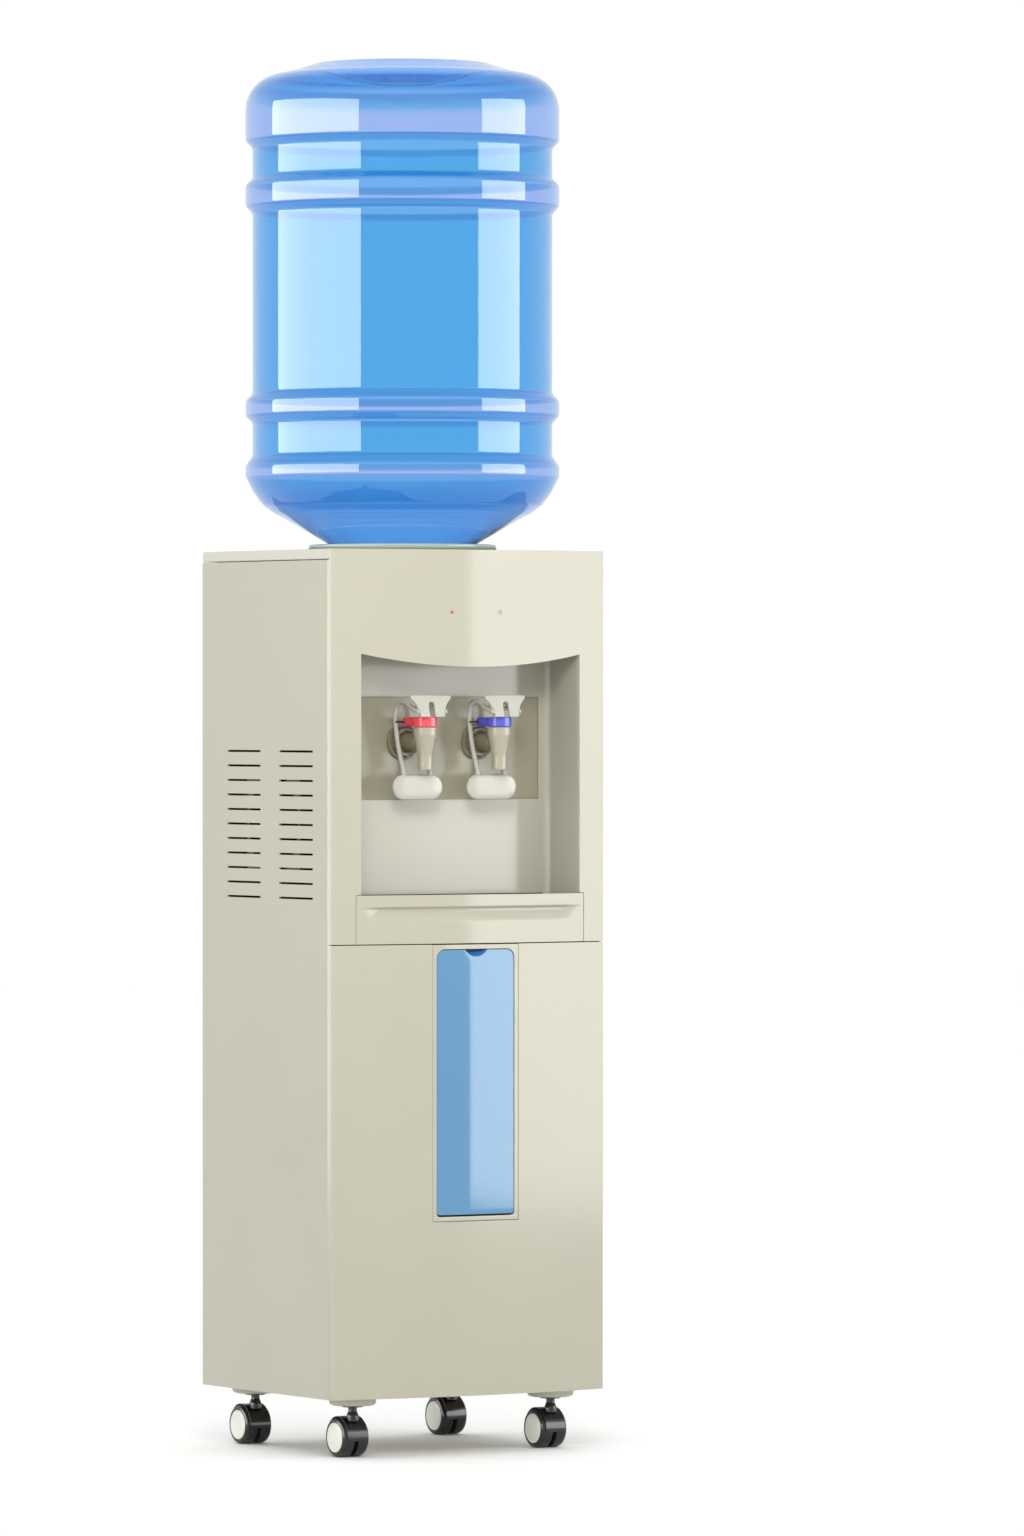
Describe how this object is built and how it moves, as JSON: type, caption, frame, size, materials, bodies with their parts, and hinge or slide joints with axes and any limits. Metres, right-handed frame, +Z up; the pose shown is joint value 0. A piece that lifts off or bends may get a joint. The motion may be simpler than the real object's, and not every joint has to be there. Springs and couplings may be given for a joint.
{
  "type": "water dispenser",
  "caption": "Slim bottle-fed water dispenser on swivel castors, with a hot and a cold push tap in a niche, a drip tray, a tilting cup door and a lift-off bottle.",
  "frame": {"origin": "on the floor, under the bottle's axis, at the bottom centre of the whole object's box", "axes": "+Z up along the longest side, -Y out of the front with the taps, +X to the right of a person facing the front"},
  "size_m": [0.275, 0.275, 1.208],
  "materials": {
    "ivory_plastic": "smooth satin ivory moulding",
    "ivory_metal": "satin ivory powder coat on steel sheet",
    "niche_beige": "satin beige moulding",
    "panel_beige": "matt dark beige moulding",
    "white_plastic": "glossy warm white moulding",
    "red_plastic": "glossy red moulding",
    "blue_plastic": "glossy blue moulding",
    "green_plastic": "glossy green moulding",
    "bottle_blue": "clear blue-tinted plastic, glossy",
    "black_plastic": "glossy black moulding",
    "dark_steel": "dark brushed steel",
    "steel": "brushed stainless steel",
    "aluminium": "plain extruded aluminium",
    "board_green": "green circuit board with parts",
    "silicone": "milky silicone tube"
  },
  "bodies": {
    "cabinet": {"top_cover": "ivory_plastic", "front_fascia": "ivory_plastic", "lower_front_panel": "ivory_plastic", "door_frame": "ivory_plastic", "castor_cup_front_left": "ivory_plastic", "castor_cup_front_right": "ivory_plastic", "castor_cup_back_left": "ivory_plastic", "castor_cup_back_right": "ivory_plastic", "side_panel_left": "ivory_metal", "side_panel_right": "ivory_metal", "back_panel": "ivory_metal", "base_pan": "ivory_metal", "niche_liner": "niche_beige", "bottle_collar": "niche_beige", "tap_panel": "panel_beige", "tap_body_hot": "white_plastic", "tap_body_cold": "white_plastic", "tap_nut_hot": "white_plastic", "tap_nut_cold": "white_plastic", "cup_bin": "white_plastic", "reservoir": "white_plastic", "drain_plug": "white_plastic", "tap_collar_hot": "red_plastic", "lamp_hot": "red_plastic", "tap_collar_cold": "blue_plastic", "lamp_cold": "blue_plastic", "fan_frame": "black_plastic", "switch_bezel": "black_plastic", "cord_gland": "black_plastic", "hot_tank": "steel", "heat_sink": "aluminium", "power_board": "board_green", "tube_cold": "silicone", "tube_hot": "silicone", "tube_feed": "silicone"},
    "bottle": {"bottle": "bottle_blue"},
    "tray": {"drip_tray": "ivory_plastic"},
    "grille": {"drip_grille": "niche_beige"},
    "door": {"cup_door": "bottle_blue"},
    "lever_hot": {"tap_lever_hot": "white_plastic"},
    "lever_cold": {"tap_lever_cold": "white_plastic"},
    "stem_hot": {"tap_stem_hot": "dark_steel"},
    "stem_cold": {"tap_stem_cold": "dark_steel"},
    "rocker_hot": {"switch_hot": "red_plastic"},
    "rocker_cold": {"switch_cold": "green_plastic"},
    "fan": {"fan_rotor": "black_plastic"},
    "fork_front_left": {"castor_fork_front_left": "black_plastic"},
    "wheel_a_front_left": {"castor_wheel_a_front_left": "black_plastic"},
    "wheel_b_front_left": {"castor_wheel_b_front_left": "black_plastic"},
    "fork_front_right": {"castor_fork_front_right": "black_plastic"},
    "wheel_a_front_right": {"castor_wheel_a_front_right": "black_plastic"},
    "wheel_b_front_right": {"castor_wheel_b_front_right": "black_plastic"},
    "fork_back_left": {"castor_fork_back_left": "black_plastic"},
    "wheel_a_back_left": {"castor_wheel_a_back_left": "black_plastic"},
    "wheel_b_back_left": {"castor_wheel_b_back_left": "black_plastic"},
    "fork_back_right": {"castor_fork_back_right": "black_plastic"},
    "wheel_a_back_right": {"castor_wheel_a_back_right": "black_plastic"},
    "wheel_b_back_right": {"castor_wheel_b_back_right": "black_plastic"}
  },
  "joints": [
    {"name": "bottle_lift", "type": "slide", "parent": "cabinet", "child": "bottle", "axis": [0, 0, 1], "range_m": [0, 0.15]},
    {"name": "tray_slide", "type": "slide", "parent": "cabinet", "child": "tray", "axis": [0, -1, 0], "range_m": [0, 0.05]},
    {"name": "grille_lift", "type": "slide", "parent": "tray", "child": "grille", "axis": [0, 0, 1], "range_m": [0, 0.03]},
    {"name": "door_hinge", "type": "hinge", "parent": "cabinet", "child": "door", "pos_m": [0, -0.12168, 0.213], "axis": [1, 0, 0], "range_deg": [0, 60]},
    {"name": "lever_hot_push", "type": "hinge", "parent": "cabinet", "child": "lever_hot", "pos_m": [-0.0373, -0.077, 0.6334], "axis": [1, 0, 0], "range_deg": [0, 7.5], "stiffness_Nm_per_rad": 1.5, "springref_deg": -6.88},
    {"name": "stem_hot_slide", "type": "slide", "parent": "cabinet", "child": "stem_hot", "axis": [0, 0, 1], "range_m": [-0.0035, 0]},
    {"name": "lever_cold_push", "type": "hinge", "parent": "cabinet", "child": "lever_cold", "pos_m": [0.0373, -0.077, 0.6334], "axis": [1, 0, 0], "range_deg": [0, 7.5], "stiffness_Nm_per_rad": 1.5, "springref_deg": -6.88},
    {"name": "stem_cold_slide", "type": "slide", "parent": "cabinet", "child": "stem_cold", "axis": [0, 0, 1], "range_m": [-0.0035, 0]},
    {"name": "rocker_hot_tilt", "type": "hinge", "parent": "cabinet", "child": "rocker_hot", "pos_m": [0.057, 0.107, 0.64], "axis": [1, 0, 0], "range_deg": [-8, 8]},
    {"name": "rocker_cold_tilt", "type": "hinge", "parent": "cabinet", "child": "rocker_cold", "pos_m": [0.083, 0.107, 0.64], "axis": [1, 0, 0], "range_deg": [-8, 8]},
    {"name": "fan_spin", "type": "hinge", "parent": "cabinet", "child": "fan", "pos_m": [-0.1135, -0.007, 0.545], "axis": [1, 0, 0], "continuous": true},
    {"name": "swivel_front_left", "type": "hinge", "parent": "cabinet", "child": "fork_front_left", "pos_m": [-0.0998, -0.0848, 0.052], "axis": [0, 0, 1], "continuous": true},
    {"name": "roll_a_front_left", "type": "hinge", "parent": "fork_front_left", "child": "wheel_a_front_left", "pos_m": [-0.0998, -0.0758, 0.017], "axis": [1, 0, 0], "continuous": true},
    {"name": "roll_b_front_left", "type": "hinge", "parent": "fork_front_left", "child": "wheel_b_front_left", "pos_m": [-0.0998, -0.0758, 0.017], "axis": [1, 0, 0], "continuous": true},
    {"name": "swivel_front_right", "type": "hinge", "parent": "cabinet", "child": "fork_front_right", "pos_m": [0.0998, -0.0848, 0.052], "axis": [0, 0, 1], "continuous": true},
    {"name": "roll_a_front_right", "type": "hinge", "parent": "fork_front_right", "child": "wheel_a_front_right", "pos_m": [0.0998, -0.0758, 0.017], "axis": [1, 0, 0], "continuous": true},
    {"name": "roll_b_front_right", "type": "hinge", "parent": "fork_front_right", "child": "wheel_b_front_right", "pos_m": [0.0998, -0.0758, 0.017], "axis": [1, 0, 0], "continuous": true},
    {"name": "swivel_back_left", "type": "hinge", "parent": "cabinet", "child": "fork_back_left", "pos_m": [-0.0998, 0.0848, 0.052], "axis": [0, 0, 1], "continuous": true},
    {"name": "roll_a_back_left", "type": "hinge", "parent": "fork_back_left", "child": "wheel_a_back_left", "pos_m": [-0.0998, 0.0938, 0.017], "axis": [1, 0, 0], "continuous": true},
    {"name": "roll_b_back_left", "type": "hinge", "parent": "fork_back_left", "child": "wheel_b_back_left", "pos_m": [-0.0998, 0.0938, 0.017], "axis": [1, 0, 0], "continuous": true},
    {"name": "swivel_back_right", "type": "hinge", "parent": "cabinet", "child": "fork_back_right", "pos_m": [0.0998, 0.0848, 0.052], "axis": [0, 0, 1], "continuous": true},
    {"name": "roll_a_back_right", "type": "hinge", "parent": "fork_back_right", "child": "wheel_a_back_right", "pos_m": [0.0998, 0.0938, 0.017], "axis": [1, 0, 0], "continuous": true},
    {"name": "roll_b_back_right", "type": "hinge", "parent": "fork_back_right", "child": "wheel_b_back_right", "pos_m": [0.0998, 0.0938, 0.017], "axis": [1, 0, 0], "continuous": true}
  ],
  "couplings": [
    {"joint": "stem_hot_slide", "follows": "lever_hot_push", "m_per_rad": -0.025},
    {"joint": "stem_cold_slide", "follows": "lever_cold_push", "m_per_rad": -0.025}
  ]
}
